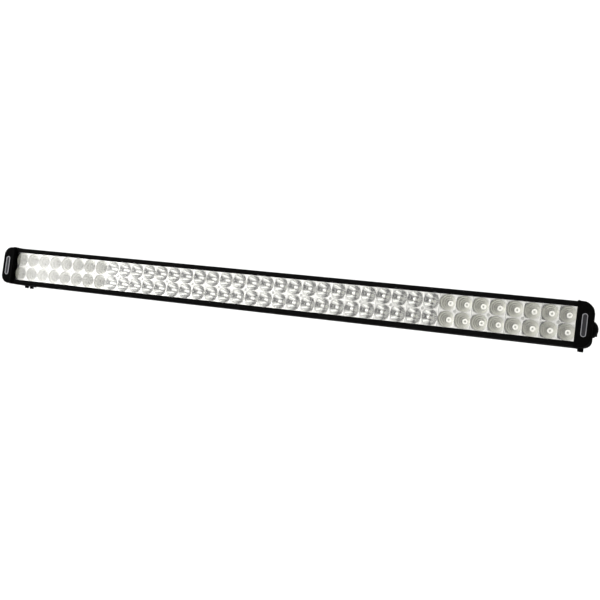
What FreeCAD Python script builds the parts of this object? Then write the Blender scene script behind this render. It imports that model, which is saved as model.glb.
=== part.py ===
import FreeCAD, Part
import os
import math

# LED light bar, straight, two rows of LEDs, on two brackets that swing on its end caps.
# Millimetres. X runs along the bar, the light leaves towards -Y, Z is up; the right end
# is at +X. The pieces are drawn from the middle of the light window, with Y = 0 on the
# front plane of the housing lips. They are saved with the origin midway between the two
# bracket feet, on the plane the feet bear on, level with their slots.
# In the names, Y0 is a front, Y1 a back, R a radius, T a thickness and H2 half a height.
# Cutters run a little past the faces they open.

V = FreeCAD.Vector
os.makedirs("parts", exist_ok=True)

# ---------------------------------------------------------------- shared dimensions
PITCH = 25.4                 # LED to LED, along the bar and between the rows
COLUMNS = 40                 # LED columns
MODULE_COLUMNS = 2           # columns in one reflector module
MODULES = COLUMNS // MODULE_COLUMNS
MODULE_LEN = PITCH * MODULE_COLUMNS
LENGTH = COLUMNS * PITCH     # housing length
END_X = LENGTH / 2.0         # right end of the housing
MODULE_X = [-END_X + MODULE_LEN / 2.0 + MODULE_LEN * k for k in range(MODULES)]
LED_X = [-END_X + PITCH / 2.0 + PITCH * k for k in range(COLUMNS)]
LED_Z = (-PITCH / 2.0, PITCH / 2.0)

HOUSING_H2 = 33.3
LIP_T = 1.3                  # lips in front of the lens
GROOVE_Y0 = LIP_T - 0.1      # lens groove
GROOVE_Y1 = 4.6
GROOVE_H2 = 28.5
WEB_Y0 = 27.2                # web that carries the LED boards
WEB_Y1 = 31.2
CAVITY_Y1 = 49.5             # back of the driver cavity
BACK_Y = 53.0                # back of the driver box, root of the rear fins
FIN_Y = 69.0                 # tips of the fins
FIN_T = 2.0
FIN_PITCH = 6.2              # rear fins, in height
FINS_ASIDE = 3               # rear fins on each side of the middle one
PORT_FIN_Z = 26.5            # height of the fin that carries screw ports
# Screw ports and their cap screws, on both signs of Z:
# Y, Z, head seat from the end of the housing, head radius
PORTS = ((12.5, 29.7, 8.0, 3.0),
         (37.0, PORT_FIN_Z, 9.0, 3.5),
         (60.0, PORT_FIN_Z, 9.0, 3.5))
CAP_SCREWS = [(y, side * z, END_X + seat, head)
              for y, z, seat, head in PORTS for side in (1, -1)]

REFLECTOR_Y0 = 4.8
LED_BOARD_Y = 25.3           # front face of the LED boards
LED_BOARD_T = 1.6

PIVOT_Y = 34.0               # bracket pivot axis, along X
PIVOT_Z = -4.5
BRACKET_T = 3.0              # bracket sheet
FOOT_DIST = 56.0             # pivot to the inner face of the foot
FOOT_Y0 = PIVOT_Y + FOOT_DIST
ORIGIN = V(0.0, FOOT_Y0 + BRACKET_T, PIVOT_Z)

GLAND_X = -450.0
VENT_X = 450.0
ORING_T = 1.0
FLANGE_Y = BACK_Y + ORING_T  # front of the gland and vent flanges
CABLE_R = 3.25
CABLE_Y = 81.0               # cable run behind the fins
CABLE_BEND = 14.0
PLUG_X0 = -252.0             # left end of the plug

DRIVER_X0, DRIVER_X1 = -425.0, -205.0
DRIVER_Y = 43.0              # front face of the driver board
DRIVER_SCREWS = [(x, z) for x in (DRIVER_X0 + 6, DRIVER_X1 - 6) for z in (13.0, -13.0)]


# ---------------------------------------------------------------- helpers
def box(x0, x1, y0, y1, z0, z1):
    return Part.makeBox(x1 - x0, y1 - y0, z1 - z0, V(x0, y0, z0))


def cyl_x(r, x0, x1, y, z):
    return Part.makeCylinder(r, x1 - x0, V(x0, y, z), V(1, 0, 0))


def cyl_y(r, x, y0, y1, z):
    return Part.makeCylinder(r, y1 - y0, V(x, y0, z), V(0, 1, 0))


def ring_y(outer_r, inner_r, x, y0, y1, z):
    return cyl_y(outer_r, x, y0, y1, z).cut(cyl_y(inner_r, x, y0 - 1, y1 + 1, z))


def hexagon(axis, flats, start, end, across, z):
    """Hexagonal prism along axis "x" or "y"; across is its place on the other one."""
    radius = flats / math.sqrt(3.0)
    points = []
    for i in range(7):
        angle = math.radians(60.0 * i + 30.0)
        u, w = across + radius * math.cos(angle), z + radius * math.sin(angle)
        points.append(V(start, u, w) if axis == "x" else V(u, start, w))
    length = end - start
    face = Part.Face(Part.makePolygon(points))
    return face.extrude(V(length, 0, 0) if axis == "x" else V(0, length, 0))


def revolve_y(profile, x, z):
    """Turn a list of (radius, y) about an axis along Y."""
    points = [V(x + r, y, z) for r, y in profile]
    points.append(points[0])
    return Part.Face(Part.makePolygon(points)).revolve(V(x, 0, z), V(0, 1, 0), 360)


def unit(vector):
    vector.normalize()
    return vector


def tube(points, radius, bend):
    """Round rod along straight runs joined by arcs of radius bend."""
    points = [V(*p) for p in points]
    edges = []
    start = points[0]
    for before, corner, after in zip(points, points[1:], points[2:]):
        dir_in = unit(corner - before)
        dir_out = unit(after - corner)
        half_angle = dir_in.getAngle(dir_out) / 2.0
        setback = bend * math.tan(half_angle)
        arc_start = corner - dir_in * setback
        arc_end = corner + dir_out * setback
        inward = unit(dir_out - dir_in)
        centre = corner + inward * (bend / math.cos(half_angle))
        if (arc_start - start).Length > 1e-6:
            edges.append(Part.makeLine(start, arc_start))
        edges.append(Part.Arc(arc_start, centre - inward * bend, arc_end).toShape())
        start = arc_end
    edges.append(Part.makeLine(start, points[-1]))
    circle = Part.makeCircle(radius, points[0], unit(points[1] - points[0]))
    return Part.Wire(edges).makePipeShell([Part.Wire([circle])], True, False)


def flip_x(shape):
    return shape.mirror(V(0, 0, 0), V(1, 0, 0))


def moved_x(shape, x):
    copy = shape.copy()
    copy.translate(V(x, 0, 0))
    return copy


def save(name, shape):
    placed = shape.copy()
    placed.translate(ORIGIN.negative())
    placed.exportStep("parts/" + name + ".step")


def save_group(name, solids):
    save(name, Part.makeCompound(solids))


def save_pair(name, solid):
    """A right-hand solid and its mirror image in one file."""
    save_group(name, [solid, flip_x(solid)])


def save_sides(name, solid):
    """A right-hand solid and its mirror image in a file each."""
    save("right_" + name, solid)
    save("left_" + name, flip_x(solid))


# ---------------------------------------------------------------- housing
WINDOW_H2 = 25.8             # light window
CHANNEL_H2 = 25.9            # LED channel
DRIVER_BOX_H2 = 23.0
CAVITY_H2 = 19.5
PORT_R = 2.05
PORT_BOSS_R = 4.0
SEAL_GROOVE_Y1 = 6.2
SEAL_GROOVE_Z = (26.2, 28.1)
CELL_Y = (18.5, 28.6)        # hollow cell in each side wall
CELL_Z = (28.2, 31.1)
LINE_Y = [8.0 + 9.0 * k for k in range(7)]    # shallow grooves, top and bottom
WEB_SCREW_R = 1.6            # holes for the reflector screws
GLAND_HOLE_R = 8.1
GLAND_CLEAR_R = 16.0         # fins cleared around the gland
VENT_HOLE_R = 6.1
VENT_CLEAR_R = 13.0
DRIVER_SCREW_HOLE_R = 1.55


def face_yz(points, side=1):
    """Face from (y, z) points at the left end of the housing; side -1 flips it in Z."""
    corners = [V(-END_X, y, side * z) for y, z in points]
    corners.append(corners[0])
    return Part.Face(Part.makePolygon(corners))


def rect_yz(y0, y1, z0, z1, side=1):
    low, high = sorted((side * z0, side * z1))
    return face_yz([(y0, low), (y1, low), (y1, high), (y0, high)])


def disc_yz(r, y, z):
    return Part.Face(Part.Wire([Part.makeCircle(r, V(-END_X, y, z), V(1, 0, 0))]))


def side_cuts(side):
    """Cuts in the section that repeat above (side 1) and below (side -1)."""
    boss_a, boss_b = [disc_yz(PORT_BOSS_R, y, side * z) for y, z, _, _ in PORTS[1:]]
    bosses = boss_a.fuse(boss_b)
    port_fin_in = PORT_FIN_Z - FIN_T / 2
    port_fin_out = PORT_FIN_Z + FIN_T / 2
    last_fin_out = FINS_ASIDE * FIN_PITCH + FIN_T / 2
    wall_in = HOUSING_H2 - FIN_T
    top = HOUSING_H2 + 0.3
    cuts = [
        # gap between the driver box with its last fin, and the port fin
        rect_yz(WEB_Y1, BACK_Y + 0.1, DRIVER_BOX_H2, port_fin_in, side).cut(bosses),
        rect_yz(BACK_Y, FIN_Y + 1, last_fin_out, port_fin_in, side).cut(bosses),
        # gap between the port fin and the outer fin, with a sloping root
        face_yz([(WEB_Y1, port_fin_out), (WEB_Y1, wall_in - 1.6), (WEB_Y1 + 2.2, wall_in),
                 (FIN_Y + 1, wall_in), (FIN_Y + 1, port_fin_out)], side).cut(bosses),
        rect_yz(GROOVE_Y1 - 0.1, SEAL_GROOVE_Y1, *SEAL_GROOVE_Z, side),
        rect_yz(*CELL_Y, *CELL_Z, side),
        # bevelled outer edge of the lip
        face_yz([(-0.5, 30.7), (-0.5, HOUSING_H2 + 0.5), (3.4, HOUSING_H2 + 0.5),
                 (2.6, HOUSING_H2), (0.0, 30.9)], side),
        # shadow line along the front of the lip
        face_yz([(-0.5, 27.9), (-0.5, 29.3), (0.55, 28.85), (0.55, 28.35)], side),
    ]
    for y in LINE_Y:
        cuts.append(face_yz([(y - 0.9, top), (y + 0.9, top), (y + 0.45, HOUSING_H2 - 0.7),
                             (y - 0.45, HOUSING_H2 - 0.7)], side))
    # bevelled back of the outer fin
    cuts.append(face_yz([(FIN_Y - 1.6, top), (FIN_Y + 0.5, top),
                         (FIN_Y + 0.5, HOUSING_H2 - 1.2),
                         (FIN_Y - 0.6, HOUSING_H2 - 0.45)], side))
    cuts += [disc_yz(PORT_R, y, side * z) for y, z, _, _ in PORTS]
    return cuts


def housing():
    """Section cut from one rectangle, extruded along the bar, then drilled."""
    section = rect_yz(0, FIN_Y, -HOUSING_H2, HOUSING_H2)
    cuts = [
        rect_yz(-1, LIP_T, -WINDOW_H2, WINDOW_H2),
        rect_yz(GROOVE_Y0, GROOVE_Y1, -GROOVE_H2, GROOVE_H2),
        rect_yz(GROOVE_Y1 - 0.1, WEB_Y0, -CHANNEL_H2, CHANNEL_H2),
        rect_yz(WEB_Y1, CAVITY_Y1, -CAVITY_H2, CAVITY_H2),
    ]
    for k in range(-FINS_ASIDE, FINS_ASIDE):
        cuts.append(rect_yz(BACK_Y, FIN_Y + 1, k * FIN_PITCH + FIN_T / 2,
                            (k + 1) * FIN_PITCH - FIN_T / 2))
    for cut in cuts + side_cuts(1) + side_cuts(-1):
        section = section.cut(cut)
    bars = [face.extrude(V(LENGTH, 0, 0)) for face in section.Faces]
    body = bars[0] if len(bars) == 1 else bars[0].fuse(bars[1:]).removeSplitter()

    holes = [cyl_y(WEB_SCREW_R, x, WEB_Y0 - 1, WEB_Y1 + 1, 0.0) for x in MODULE_X]
    for x, hole_r, clear_r in ((GLAND_X, GLAND_HOLE_R, GLAND_CLEAR_R),
                               (VENT_X, VENT_HOLE_R, VENT_CLEAR_R)):
        holes.append(cyl_y(hole_r, x, CAVITY_Y1 - 1, BACK_Y + 1, 0.0))
        holes.append(cyl_y(clear_r, x, BACK_Y, FIN_Y + 1, 0.0))
    for x, z in DRIVER_SCREWS:
        holes.append(cyl_y(DRIVER_SCREW_HOLE_R, x, CAVITY_Y1 - 0.5, CAVITY_Y1 + 2.8, z))
    return body.cut(Part.makeCompound(holes))


save("housing", housing())

# ---------------------------------------------------------------- lens and its seals
LENS_Y0 = 1.35
LENS_T = 3.0
LENS_H2 = 28.2
LENS_X = 511.0               # half the lens length, its ends sit in the caps
SEAL_Y = (4.4, 6.15)
SEAL_Z = (26.3, 28.0)
SEAL_X = END_X - 0.2

lens = box(-LENS_X, LENS_X, LENS_Y0, LENS_Y0 + LENS_T, -LENS_H2, LENS_H2)
lens = lens.makeChamfer(0.4, [e for e in lens.Edges if e.Length > 900])
save("front_lens", lens)
save_group("lens_seals", [box(-SEAL_X, SEAL_X, *SEAL_Y, SEAL_Z[0], SEAL_Z[1]),
                          box(-SEAL_X, SEAL_X, *SEAL_Y, -SEAL_Z[1], -SEAL_Z[0])])

# ---------------------------------------------------------------- reflectors
FLOOD_MODULES = 4            # flood modules at each end of the bar
PLATE_T = 1.4                # front plate
PLATE_X2 = MODULE_LEN / 2.0 - 0.125
PLATE_H2 = 25.3
SKIRT_Y1 = 9.0
SKIRT_T = 0.9
POST_R = 3.6                 # post around the module's screw
CUP_Y1 = 25.1                # back of the cups
CUP_R = 12.15                # cup radius at the front face
CUP_WALL = 0.95              # outside of the cup, beyond the stations below
FOCUS = 1.80                 # focal length of the spot mirror
SPOT_MIN_R = 3.0             # opening round the LED
SPOT_Y = (CUP_Y1, 23.2, 20.6, 17.0, 12.6, 8.6, REFLECTOR_Y0)
# Flood mirror as (radius, y), back to front: a floor round the LED, then flared rings
# with a ledge between them.
FLOOD_MIRROR = [(3.3, CUP_Y1), (3.3, 24.5), (1.75, 24.5), (1.75, 24.15), (4.3, 24.15),
                (5.4, 19.6), (6.6, 19.3), (7.7, 14.7), (8.9, 14.4), (10.0, 9.4),
                (11.2, 9.1), (CUP_R, REFLECTOR_Y0)]
# Stations (radius, y) that the outside of the flood cup follows, back to front
FLOOD_OUTSIDE = [(4.2, CUP_Y1), (6.6, 19.2), (8.7, 14.0), (10.6, 8.6), (11.68, 6.8)]
SCREW_HEAD_R = 2.3
SCREW_HEAD_Y0 = REFLECTOR_Y0 + 0.3
SCREW_HEAD_Y1 = REFLECTOR_Y0 + 2.3
SCREW_R = 1.5
SCREW_Y1 = 30.6
SCREW_CLEAR_R = 1.7          # in the reflectors and the boards
RECESS_Y1 = REFLECTOR_Y0 + 1.2    # floor of the cross recess in the head


def spot_mirror():
    """Parabola as (radius, y), back to front."""
    vertex_y = REFLECTOR_Y0 + CUP_R ** 2 / (4 * FOCUS)
    return [(math.sqrt(max(4 * FOCUS * (vertex_y - y), SPOT_MIN_R ** 2)), y) for y in SPOT_Y]


def cup_outside(stations, x, z):
    shell_y0 = REFLECTOR_Y0 + 0.6
    profile = [(0.0, stations[0][1])]
    profile += [(r + CUP_WALL, y) for r, y in stations]
    profile += [(stations[-1][0] + CUP_WALL, shell_y0), (0.0, shell_y0)]
    return revolve_y(profile, x, z)


def cup_hollow(mirror, x, z):
    back_y, front_y = mirror[0][1] + 0.4, REFLECTOR_Y0 - 0.5
    return revolve_y([(0.0, back_y), (mirror[0][0], back_y)] + mirror
                     + [(mirror[-1][0], front_y), (0.0, front_y)], x, z)


def reflector(mirror, outside):
    """Module of four cups about X = 0."""
    body = box(-PLATE_X2, PLATE_X2, REFLECTOR_Y0, REFLECTOR_Y0 + PLATE_T, -PLATE_H2, PLATE_H2)
    body = body.makeChamfer(0.25, [e for e in body.Edges
                                   if abs(e.BoundBox.YMin - REFLECTOR_Y0) < 1e-6
                                   and e.BoundBox.YLength < 1e-6])
    skirt = box(-PLATE_X2, PLATE_X2, REFLECTOR_Y0 + PLATE_T, SKIRT_Y1, -PLATE_H2, PLATE_H2)
    inner_x, inner_z = PLATE_X2 - SKIRT_T, PLATE_H2 - SKIRT_T
    skirt = skirt.cut(box(-inner_x, inner_x, 0, SKIRT_Y1 + 1, -inner_z, inner_z))
    body = body.fuse(skirt)
    body = body.fuse(cyl_y(POST_R, 0, REFLECTOR_Y0 + 0.5, CUP_Y1, 0))
    centres = [(x, z) for x in (-PITCH / 2.0, PITCH / 2.0) for z in LED_Z]
    body = body.fuse([cup_outside(outside, x, z) for x, z in centres])
    body = body.cut(Part.makeCompound([cup_hollow(mirror, x, z) for x, z in centres]))
    # screw hole and its counterbore
    body = body.cut(cyl_y(SCREW_CLEAR_R, 0, 0, 30, 0))
    return body.cut(cyl_y(SCREW_HEAD_R + 0.25, 0, 0, SCREW_HEAD_Y1, 0))


def reflector_screw(x):
    screw = cyl_y(SCREW_HEAD_R, x, SCREW_HEAD_Y0, SCREW_HEAD_Y1, 0)
    screw = screw.fuse(cyl_y(SCREW_R, x, SCREW_HEAD_Y1, SCREW_Y1, 0))
    for half_x, half_z in ((1.5, 0.3), (0.3, 1.5)):
        screw = screw.cut(box(x - half_x, x + half_x, REFLECTOR_Y0, RECESS_Y1,
                              -half_z, half_z))
    return screw


mirror = spot_mirror()
spot = reflector(mirror, [mirror[i] for i in (0, 2, 4, 5)])
flood = reflector(FLOOD_MIRROR, FLOOD_OUTSIDE)
save_group("spot_reflectors",
           [moved_x(spot, x) for x in MODULE_X[FLOOD_MODULES:-FLOOD_MODULES]])
save_group("flood_reflectors",
           [moved_x(flood, x) for x in MODULE_X[:FLOOD_MODULES] + MODULE_X[-FLOOD_MODULES:]])
# one long screw through the middle of each module and the board, into the web
save_group("reflector_screws", [reflector_screw(x) for x in MODULE_X])

# ---------------------------------------------------------------- LED boards
BOARD_MODULES = 4            # modules on one board
BOARDS = MODULES // BOARD_MODULES
BOARD_LEN = BOARD_MODULES * MODULE_LEN
BOARD_GAP = 0.3              # at each end of a board
BOARD_H2 = 24.0
PAD_INSET = 0.5              # pad inside the board's outline
PAD_HOLE_R = 2.2
LED_R = 2.6
LED_T = 0.7
DOME_R = 1.5
LINK_Z = 21.0                # links between boards, both signs
LINK_X2 = 3.0
LINK_T = 0.8                 # depth, and half the height

boards, pads = [], []
pad_h2 = BOARD_H2 - PAD_INSET
for k in range(BOARDS):
    x0 = -END_X + k * BOARD_LEN + BOARD_GAP
    x1 = x0 + BOARD_LEN - 2 * BOARD_GAP
    board_back = LED_BOARD_Y + LED_BOARD_T
    board = box(x0, x1, LED_BOARD_Y, board_back, -BOARD_H2, BOARD_H2)
    pad = box(x0 + PAD_INSET, x1 - PAD_INSET, board_back, WEB_Y0, -pad_h2, pad_h2)
    for x in MODULE_X[BOARD_MODULES * k:BOARD_MODULES * (k + 1)]:
        board = board.cut(cyl_y(SCREW_CLEAR_R, x, 20, 30, 0))
        pad = pad.cut(cyl_y(PAD_HOLE_R, x, 20, 30, 0))
    boards.append(board)
    pads.append(pad)
save_group("led_boards", boards)
save_group("thermal_pads", pads)


def led_dome(x, z):
    """The part of a sphere that stands in front of the LED package."""
    keep = box(x - 2, x + 2, LED_BOARD_Y - 4, LED_BOARD_Y - LED_T, z - 2, z + 2)
    return Part.makeSphere(DOME_R, V(x, LED_BOARD_Y - 0.55, z)).common(keep)


led_places = [(x, z) for x in LED_X for z in LED_Z]
save_group("led_packages",
           [cyl_y(LED_R, x, LED_BOARD_Y - LED_T, LED_BOARD_Y, z) for x, z in led_places])
save_group("led_domes", [led_dome(x, z) for x, z in led_places])

joints = [-END_X + k * BOARD_LEN for k in range(1, BOARDS)]
save_group("board_links",
           [box(x - LINK_X2, x + LINK_X2, LED_BOARD_Y - LINK_T, LED_BOARD_Y,
                z - LINK_T, z + LINK_T) for x in joints for z in (-LINK_Z, LINK_Z)])

# ---------------------------------------------------------------- driver
DRIVER_BACK = DRIVER_Y + 1.6
DRIVER_H2 = 17.0
GAP_PAD_H2 = 16.0
GAP_PAD_INSET = 12.0         # from each end of the board
INDUCTOR_X = (-385.0, -345.0, -305.0, -265.0)
CAPACITOR_X = (-400.0, -370.0, -325.0, -285.0)
TRANSISTOR_X = (-355.0, -313.0, -245.0)
TERMINAL_X = ((-424.0, -413.5), (-232.0, -222.0))

driver = box(DRIVER_X0, DRIVER_X1, DRIVER_Y, DRIVER_BACK, -DRIVER_H2, DRIVER_H2)
for x, z in DRIVER_SCREWS:
    driver = driver.cut(cyl_y(1.7, x, 40, 50, z))
save("driver_board", driver)
save("driver_gap_pad", box(DRIVER_X0 + GAP_PAD_INSET, DRIVER_X1 - GAP_PAD_INSET,
                           DRIVER_BACK, CAVITY_Y1, -GAP_PAD_H2, GAP_PAD_H2))
save_group("driver_inductors",
           [ring_y(6.0, 2.2, x, DRIVER_Y - 7.0, DRIVER_Y, 0.0) for x in INDUCTOR_X])
save_group("driver_capacitors", [cyl_y(4.0, x, DRIVER_Y - 9.0, DRIVER_Y, z)
                                 for x in CAPACITOR_X for z in (-9.0, 9.0)])
save_group("driver_transistors",
           [box(x - 3.2, x + 3.2, DRIVER_Y - 2.3, DRIVER_Y, z - 3.0, z + 3.0)
            for x in TRANSISTOR_X for z in (-12.0, 12.0)])
save_group("driver_terminals",
           [box(x0, x1, DRIVER_Y - 8.0, DRIVER_Y, -8.0, 8.0) for x0, x1 in TERMINAL_X])


def driver_screw(x, z):
    screw = cyl_y(2.7, x, DRIVER_Y - 2.0, DRIVER_Y, z)
    screw = screw.fuse(cyl_y(1.5, x, DRIVER_Y, CAVITY_Y1 + 2.6, z))
    return screw.cut(box(x - 1.9, x + 1.9, DRIVER_Y - 2.1, DRIVER_Y - 1.0,
                         z - 0.35, z + 0.35))


save_group("driver_screws", [driver_screw(x, z) for x, z in DRIVER_SCREWS])
save_group("driver_spacers",
           [ring_y(2.8, 1.6, x, DRIVER_BACK, CAVITY_Y1, z) for x, z in DRIVER_SCREWS])

# ---------------------------------------------------------------- leads
LEAD_R = 1.0
LEAD_Y = 38.0                # where the leads meet the terminals
LEAD_X = -424.1
SUPPLY_X = GLAND_X + 0.2
# Runs from the driver round the left end of the web to the first LED board: x, y, z
LED_RED = [(LEAD_X, LEAD_Y, 5.0), (-429.0, LEAD_Y, 5.0), (-434.0, 34.0, 11.0),
           (-513.5, 34.0, 11.0), (-513.5, 23.6, 11.0), (-505.2, 23.6, 11.0)]
LED_BLACK = [(LEAD_X, LEAD_Y, -5.0), (-429.0, LEAD_Y, -5.0), (-431.0, 33.0, -5.0),
             (-440.0, 33.0, 7.0), (-513.5, 33.0, 7.0), (-513.5, 23.6, 7.0),
             (-505.2, 23.6, 7.0)]

for name, supply_z, led_path in (("lead_red", 1.5, LED_RED), ("lead_black", -1.5, LED_BLACK)):
    supply_path = [(SUPPLY_X, 43.8, supply_z), (SUPPLY_X, LEAD_Y, supply_z),
                   (LEAD_X, LEAD_Y, supply_z)]
    save_group(name, [tube(supply_path, LEAD_R, 3.0), tube(led_path, LEAD_R, 2.5)])

# ---------------------------------------------------------------- cable gland
THREAD_R = 8.0
COLLAR_Y1 = 58.0             # back of the hexagonal collar
NUT_Y0 = 58.2
NUT_HEX_Y1 = 63.6            # the nut tapers behind this
NUT_Y1 = 67.4


def gland_cyl(r, y0, y1):
    return cyl_y(r, GLAND_X, y0, y1, 0)


gland = gland_cyl(THREAD_R, 45.0, FLANGE_Y)
gland = gland.fuse(hexagon("y", 22.0, FLANGE_Y, COLLAR_Y1, GLAND_X, 0))
gland = gland.fuse(gland_cyl(7.6, COLLAR_Y1, 63.0))
gland = gland.cut(gland_cyl(5.3, 44.0, 64.0))
save("gland_body", gland)
save("gland_oring", ring_y(10.6, 8.1, GLAND_X, BACK_Y, FLANGE_Y, 0))
nut_taper = Part.makeCone(9.3, 6.6, NUT_Y1 - NUT_HEX_Y1, V(GLAND_X, NUT_HEX_Y1, 0), V(0, 1, 0))
nut = hexagon("y", 19.0, NUT_Y0, NUT_HEX_Y1, GLAND_X, 0).fuse(nut_taper)
# stepped bore, widest at the front
for r, y0, y1 in ((7.7, 58.0, 63.2), (5.35, 63.0, 65.4), (3.6, 63.0, 68.0)):
    nut = nut.cut(gland_cyl(r, y0, y1))
save("gland_nut", nut)
save("gland_seal", ring_y(5.25, 3.3, GLAND_X, 50.0, 65.2, 0))
save("gland_locknut", hexagon("y", 20.0, 45.6, CAVITY_Y1, GLAND_X, 0).cut(
    gland_cyl(THREAD_R + 0.05, 44, 50)))

save("power_cable", tube([(GLAND_X, 43.9, 0), (GLAND_X, CABLE_Y, 0),
                          (PLUG_X0 + 14.0, CABLE_Y, 0)], CABLE_R, CABLE_BEND))

# ---------------------------------------------------------------- two-pin plug
PLUG_X1 = PLUG_X0 + 50.0
PLUG_Y2 = 8.0                # half the depth of the shell
PLUG_H2 = 9.0
PIN_Z = (-3.5, 3.5)
BOOT_R = 4.95


def plug_box(x0, x1, half_y, half_z):
    """Box about the cable axis."""
    return box(x0, x1, CABLE_Y - half_y, CABLE_Y + half_y, -half_z, half_z)


def plug_cyl(r, x0, x1, z=0):
    return cyl_x(r, x0, x1, CABLE_Y, z)


shell = plug_box(PLUG_X0, PLUG_X1, PLUG_Y2, PLUG_H2)
shell = shell.makeFillet(3.0, [e for e in shell.Edges if e.BoundBox.XLength > 40])
# flange round the shell
shell = shell.fuse(plug_box(PLUG_X0 + 22.0, PLUG_X0 + 26.0, PLUG_Y2 + 0.8, PLUG_H2 + 0.8))
# catch on the top
shell = shell.fuse(box(PLUG_X1 - 16.0, PLUG_X1 - 8.0, CABLE_Y - 4.5, CABLE_Y + 4.5,
                       PLUG_H2, PLUG_H2 + 2.0))
# socket, open to the right, and cable entry at the left
shell = shell.cut(plug_box(PLUG_X0 + 27.0, PLUG_X1 + 1, 6.0, 7.0))
shell = shell.cut(plug_cyl(5.0, PLUG_X0 - 1, PLUG_X0 + 16.0))
for z in PIN_Z:
    shell = shell.cut(plug_cyl(1.3, PLUG_X0 + 15.0, PLUG_X0 + 28.0, z))
save("plug_shell", shell)
boot = plug_cyl(BOOT_R, PLUG_X0 + 1.0, PLUG_X0 + 13.0).fuse(
    Part.makeCone(4.3, 6.4, 12.0, V(PLUG_X0 - 12.05, CABLE_Y, 0), V(1, 0, 0)))
boot = boot.fuse(plug_cyl(BOOT_R, PLUG_X0 - 0.1, PLUG_X0 + 1.5))
boot = boot.cut(plug_cyl(CABLE_R + 0.05, PLUG_X0 - 20, PLUG_X0 + 20))
save("plug_boot", boot)
save_group("plug_contacts",
           [plug_cyl(1.25, PLUG_X0 + 16.2, PLUG_X1 - 5.0, z) for z in PIN_Z])
wedge = plug_box(PLUG_X0 + 27.2, PLUG_X0 + 32.0, 5.6, 6.6)
for z in PIN_Z:
    wedge = wedge.cut(plug_cyl(1.4, PLUG_X0 + 20, PLUG_X1, z))
save("plug_wedge", wedge)

# ---------------------------------------------------------------- breather vent
VENT_R = 6.0
VENT_Y1 = 59.0

vent = cyl_y(VENT_R, VENT_X, 46.5, FLANGE_Y, 0).fuse(cyl_y(8.6, VENT_X, FLANGE_Y, VENT_Y1, 0))
vent = vent.cut(cyl_y(3.5, VENT_X, 46.0, 56.5, 0))
# ring of six blind holes in the back of the head
for i in range(6):
    angle = math.radians(60 * i)
    vent = vent.cut(cyl_y(0.7, VENT_X + 6.3 * math.cos(angle), VENT_Y1 - 1.4, VENT_Y1 + 1,
                          6.3 * math.sin(angle)))
save("vent_plug", vent)
save("vent_membrane", cyl_y(3.45, VENT_X, 55.9, 56.4, 0))
save("vent_oring", ring_y(8.4, 6.1, VENT_X, BACK_Y, FLANGE_Y, 0))
save("vent_locknut", hexagon("y", 16.0, 46.6, CAVITY_Y1, VENT_X, 0).cut(
    cyl_y(VENT_R + 0.05, VENT_X, 44, 50, 0)))

# ---------------------------------------------------------------- end caps
# Everything from here on is drawn at the right end; the left is its mirror.
CAP_X1 = 531.0               # outer side of the front block
CAP_Y0 = -5.0                # proud of the lips
CAP_H2 = 33.6
CAP_R = 15.5                 # rounded outer corners
SIDE_X = 526.5               # outer side behind the front block, where the bracket swings
SIDE_Y = 16.0                # back of the front block
CAP_Y1 = 70.0
CAP_BACK_H2 = 31.8           # behind the front block
CAP_BACK_R = 12.0
CAP_FILLET = 1.8
RIM = 0.8                    # how far the rim stands proud
STUD_R = 3.8                 # two cast feet under the cap
STUD_Y = (48.0, 62.0)
STUD_Z0 = -CAP_H2 - 4.4
GASKET_T = 1.2
POCKET_Y = (7.0, 49.0)
POCKET_H2 = 19.0
INSERT_X0 = END_X + 5.0
INSERT_R = 6.0
BADGE_X, BADGE_Z = 520.0, -1.0
BADGE_W, BADGE_H = 8.0, 34.0
BADGE_Y0 = CAP_Y0 - 0.25
BADGE_Y1 = CAP_Y0 + 0.7


def pivot_cyl(r, x0, x1):
    return cyl_x(r, x0, x1, PIVOT_Y, PIVOT_Z)


def pivot_ring(outer_r, inner_r, x0, x1):
    return pivot_cyl(outer_r, x0, x1).cut(pivot_cyl(inner_r, x0 - 1, x1 + 1))


def rounded_block(x1, half_h, r, y0, y1):
    """Block from the end of the housing to x1, its two outer corners rounded."""
    inset = r * (1 - math.cos(math.radians(45)))

    def at(x, z):
        return V(x, y0, z)

    edges = [
        Part.makeLine(at(END_X, -half_h), at(x1 - r, -half_h)),
        Part.Arc(at(x1 - r, -half_h), at(x1 - inset, -half_h + inset),
                 at(x1, -half_h + r)).toShape(),
        Part.makeLine(at(x1, -half_h + r), at(x1, half_h - r)),
        Part.Arc(at(x1, half_h - r), at(x1 - inset, half_h - inset),
                 at(x1 - r, half_h)).toShape(),
        Part.makeLine(at(x1 - r, half_h), at(END_X, half_h)),
        Part.makeLine(at(END_X, half_h), at(END_X, -half_h)),
    ]
    return Part.Face(Part.Wire(edges)).extrude(V(0, y1 - y0, 0))


def outer_edges(shape, levels):
    """Edges lying in the planes Y = levels, without those at the housing."""
    return [e for e in shape.Edges
            if e.BoundBox.YLength < 1e-6 and e.BoundBox.XMax > END_X + 1.0
            and any(abs(e.BoundBox.YMin - y) < 1e-6 for y in levels)]


def gasket_block(x0):
    return box(x0, END_X + GASKET_T, 5.0, 68.5, -32.6, 32.6)


def pill(y0, y1, grow):
    """Badge outline with round ends, grown all round."""
    r = BADGE_W / 2.0 + grow
    reach = BADGE_H / 2.0 - BADGE_W / 2.0
    upper = cyl_y(r, BADGE_X, y0, y1, BADGE_Z + reach)
    lower = cyl_y(r, BADGE_X, y0, y1, BADGE_Z - reach)
    middle = box(BADGE_X - r, BADGE_X + r, y0, y1, BADGE_Z - reach, BADGE_Z + reach)
    return upper.fuse([lower, middle]).removeSplitter()


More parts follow.
